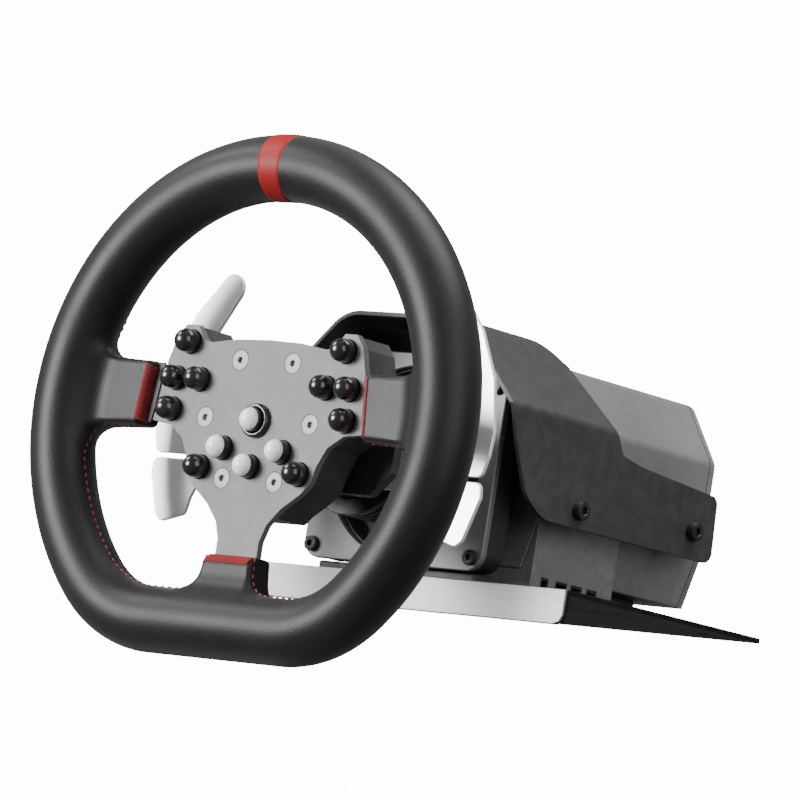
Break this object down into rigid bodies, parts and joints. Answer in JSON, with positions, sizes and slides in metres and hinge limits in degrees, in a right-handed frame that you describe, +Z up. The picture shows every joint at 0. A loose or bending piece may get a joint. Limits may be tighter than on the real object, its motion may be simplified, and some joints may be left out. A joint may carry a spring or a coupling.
{
  "type": "racing wheel",
  "caption": "D-shaped leather racing wheel with a button plate and shift paddles, turning on a motor base with a hood and a flat clamping plate.",
  "frame": {"origin": "middle of the base plate's underside, at the centre of its four mounting holes", "axes": "+Z up, square to the base plate; +Y away from the driver along the steering axis; +X to the driver's right"},
  "size_m": [0.286, 0.3255, 0.268],
  "materials": {
    "grip_leather": "black smooth leather",
    "marker_leather": "red leather band",
    "plate_metal": "light grey satin anodised",
    "bolt_steel": "zinc-plated steel",
    "black_steel": "black oxide",
    "gloss_black": "glossy black",
    "gloss_white": "glossy white top on a black body",
    "black_plastic": "fine matte black",
    "board_green": "circuit board lacquer",
    "paddle_metal": "bright satin sheet",
    "adapter_metal": "black anodised",
    "shaft_steel": "ground steel",
    "magnet_steel": "sintered magnets and steel core",
    "copper": "enamelled copper wire",
    "housing_grey": "cast aluminium, mid grey fine powder coat",
    "face_grey": "aluminium, mid grey satin coat",
    "block_grey": "dark grey coated casting",
    "hood_grey": "dark grey satin coat",
    "plate_black": "black powder coat",
    "trim_silver": "brushed silver strip"
  },
  "bodies": {
    "base": {"outer_races": "shaft_steel", "bearing_balls": "shaft_steel", "stator": "magnet_steel", "stator_coils": "copper", "encoder_board": "board_green", "motor_housing": "housing_grey", "end_cap": "housing_grey", "end_screws": "black_steel", "lower_housing": "housing_grey", "control_board": "board_green", "port_sockets": "black_plastic", "rear_feet": "block_grey", "bearing_block": "block_grey", "front_shroud": "black_plastic", "face_plate": "face_grey", "face_bolts": "black_steel", "hood": "hood_grey", "hood_spacers": "black_steel", "hood_bolts": "black_steel", "base_plate": "plate_black", "front_trim": "trim_silver", "plate_screws": "black_steel"},
    "wheel": {"rim_grip": "grip_leather", "centre_marker": "marker_leather", "wheel_plate": "plate_metal", "spoke_cover_right": "grip_leather", "spoke_cover_left": "grip_leather", "spoke_cover_bottom": "grip_leather", "hub_bolts": "bolt_steel", "centre_bezel": "gloss_black", "button_board": "board_green", "button_switches": "black_plastic", "hub_housing": "black_plastic", "hub_adapter": "adapter_metal", "paddle_carrier": "black_plastic", "paddle_pins": "shaft_steel", "paddle_switches": "black_plastic", "main_shaft": "shaft_steel", "rotor": "magnet_steel", "encoder_disc": "shaft_steel", "inner_races": "shaft_steel"},
    "button_ear_left": {"button_ear_left": "gloss_black"},
    "button_ear_right": {"button_ear_right": "gloss_black"},
    "button_outer_left": {"button_outer_left": "gloss_black"},
    "button_inner_left": {"button_inner_left": "gloss_black"},
    "button_inner_right": {"button_inner_right": "gloss_black"},
    "button_outer_right": {"button_outer_right": "gloss_black"},
    "button_side_left": {"button_side_left": "gloss_black"},
    "button_side_right": {"button_side_right": "gloss_black"},
    "button_low_left": {"button_low_left": "gloss_black"},
    "button_low_right": {"button_low_right": "gloss_black"},
    "button_face_left": {"button_face_left": "gloss_white"},
    "button_face_right": {"button_face_right": "gloss_white"},
    "button_face_low": {"button_face_low": "gloss_white"},
    "button_centre": {"button_centre": "gloss_white"},
    "shift_paddle_right": {"shift_paddle_right": "paddle_metal"},
    "shift_paddle_left": {"shift_paddle_left": "paddle_metal"},
    "lower_paddle_right": {"lower_paddle_right": "paddle_metal"},
    "lower_paddle_left": {"lower_paddle_left": "paddle_metal"},
    "release_collar": {"release_collar": "adapter_metal"}
  },
  "joints": [
    {"name": "steer", "type": "hinge", "parent": "base", "child": "wheel", "pos_m": [0, -0.2025, 0.0615], "axis": [0, 1, 0], "range_deg": [-450, 450]},
    {"name": "button_ear_left_press", "type": "slide", "parent": "wheel", "child": "button_ear_left", "axis": [0, 1, 0], "range_m": [0, 0.0015], "stiffness_N_per_m": 900},
    {"name": "button_ear_right_press", "type": "slide", "parent": "wheel", "child": "button_ear_right", "axis": [0, 1, 0], "range_m": [0, 0.0015], "stiffness_N_per_m": 900},
    {"name": "button_outer_left_press", "type": "slide", "parent": "wheel", "child": "button_outer_left", "axis": [0, 1, 0], "range_m": [0, 0.0015], "stiffness_N_per_m": 900},
    {"name": "button_inner_left_press", "type": "slide", "parent": "wheel", "child": "button_inner_left", "axis": [0, 1, 0], "range_m": [0, 0.0015], "stiffness_N_per_m": 900},
    {"name": "button_inner_right_press", "type": "slide", "parent": "wheel", "child": "button_inner_right", "axis": [0, 1, 0], "range_m": [0, 0.0015], "stiffness_N_per_m": 900},
    {"name": "button_outer_right_press", "type": "slide", "parent": "wheel", "child": "button_outer_right", "axis": [0, 1, 0], "range_m": [0, 0.0015], "stiffness_N_per_m": 900},
    {"name": "button_side_left_press", "type": "slide", "parent": "wheel", "child": "button_side_left", "axis": [0, 1, 0], "range_m": [0, 0.0015], "stiffness_N_per_m": 900},
    {"name": "button_side_right_press", "type": "slide", "parent": "wheel", "child": "button_side_right", "axis": [0, 1, 0], "range_m": [0, 0.0015], "stiffness_N_per_m": 900},
    {"name": "button_low_left_press", "type": "slide", "parent": "wheel", "child": "button_low_left", "axis": [0, 1, 0], "range_m": [0, 0.0015], "stiffness_N_per_m": 900},
    {"name": "button_low_right_press", "type": "slide", "parent": "wheel", "child": "button_low_right", "axis": [0, 1, 0], "range_m": [0, 0.0015], "stiffness_N_per_m": 900},
    {"name": "button_face_left_press", "type": "slide", "parent": "wheel", "child": "button_face_left", "axis": [0, 1, 0], "range_m": [0, 0.0015], "stiffness_N_per_m": 900},
    {"name": "button_face_right_press", "type": "slide", "parent": "wheel", "child": "button_face_right", "axis": [0, 1, 0], "range_m": [0, 0.0015], "stiffness_N_per_m": 900},
    {"name": "button_face_low_press", "type": "slide", "parent": "wheel", "child": "button_face_low", "axis": [0, 1, 0], "range_m": [0, 0.0015], "stiffness_N_per_m": 900},
    {"name": "button_centre_press", "type": "slide", "parent": "wheel", "child": "button_centre", "axis": [0, 1, 0], "range_m": [0, 0.0015], "stiffness_N_per_m": 900},
    {"name": "shift_paddle_right_pull", "type": "hinge", "parent": "wheel", "child": "shift_paddle_right", "pos_m": [0.036, -0.1575, 0.0615], "axis": [0, 0, 1], "range_deg": [-6, 0], "stiffness_Nm_per_rad": 1.5},
    {"name": "lower_paddle_right_pull", "type": "hinge", "parent": "wheel", "child": "lower_paddle_right", "pos_m": [0.036, -0.1575, 0.0615], "axis": [0, 0, 1], "range_deg": [-6, 0], "stiffness_Nm_per_rad": 1.5},
    {"name": "shift_paddle_left_pull", "type": "hinge", "parent": "wheel", "child": "shift_paddle_left", "pos_m": [-0.036, -0.1575, 0.0615], "axis": [0, 0, 1], "range_deg": [0, 6], "stiffness_Nm_per_rad": 1.5},
    {"name": "lower_paddle_left_pull", "type": "hinge", "parent": "wheel", "child": "lower_paddle_left", "pos_m": [-0.036, -0.1575, 0.0615], "axis": [0, 0, 1], "range_deg": [0, 6], "stiffness_Nm_per_rad": 1.5},
    {"name": "collar_pull", "type": "slide", "parent": "wheel", "child": "release_collar", "axis": [0, -1, 0], "range_m": [0, 0.006], "stiffness_N_per_m": 1500}
  ]
}
